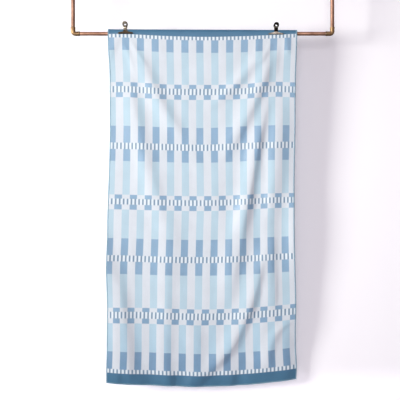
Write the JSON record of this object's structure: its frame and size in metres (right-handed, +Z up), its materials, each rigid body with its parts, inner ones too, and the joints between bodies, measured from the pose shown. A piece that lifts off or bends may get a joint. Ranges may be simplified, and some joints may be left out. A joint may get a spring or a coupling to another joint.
{
  "type": "sports towel clipped over a copper pipe rail",
  "caption": "Patterned microfibre sports towel folded over a ceiling-hung copper pipe rail and held by bulldog clips.",
  "frame": {"origin": "in the plane of the ceiling, midway between the two flange centres", "axes": "+X along the rail to the right, the towel's face looks along -Y, +Z up to the ceiling"},
  "size_m": [1.13, 0.0673, 1.6484],
  "materials": {
    "cloth": "woven microfibre, white and blue blocks and stripes, matt with a faint sheen",
    "copper": "plain copper pipe, softly polished with light tarnish",
    "elbow": "soldered copper elbow, dulled to a brassy green brown",
    "clip": "antique brass plating, dark with rubbed edges",
    "spring": "dark spring steel"
  },
  "bodies": {
    "root": {"towel": "cloth", "rail_bar": "copper", "dropper_left": "copper", "dropper_right": "copper", "elbow_left": "elbow", "elbow_right": "elbow", "flange_left": "copper", "flange_right": "copper", "clip_left_front": "clip", "clip_left_back": "clip", "clip_right_front": "clip", "clip_right_back": "clip", "spring_left": "spring", "spring_right": "spring"}
  },
  "joints": []
}
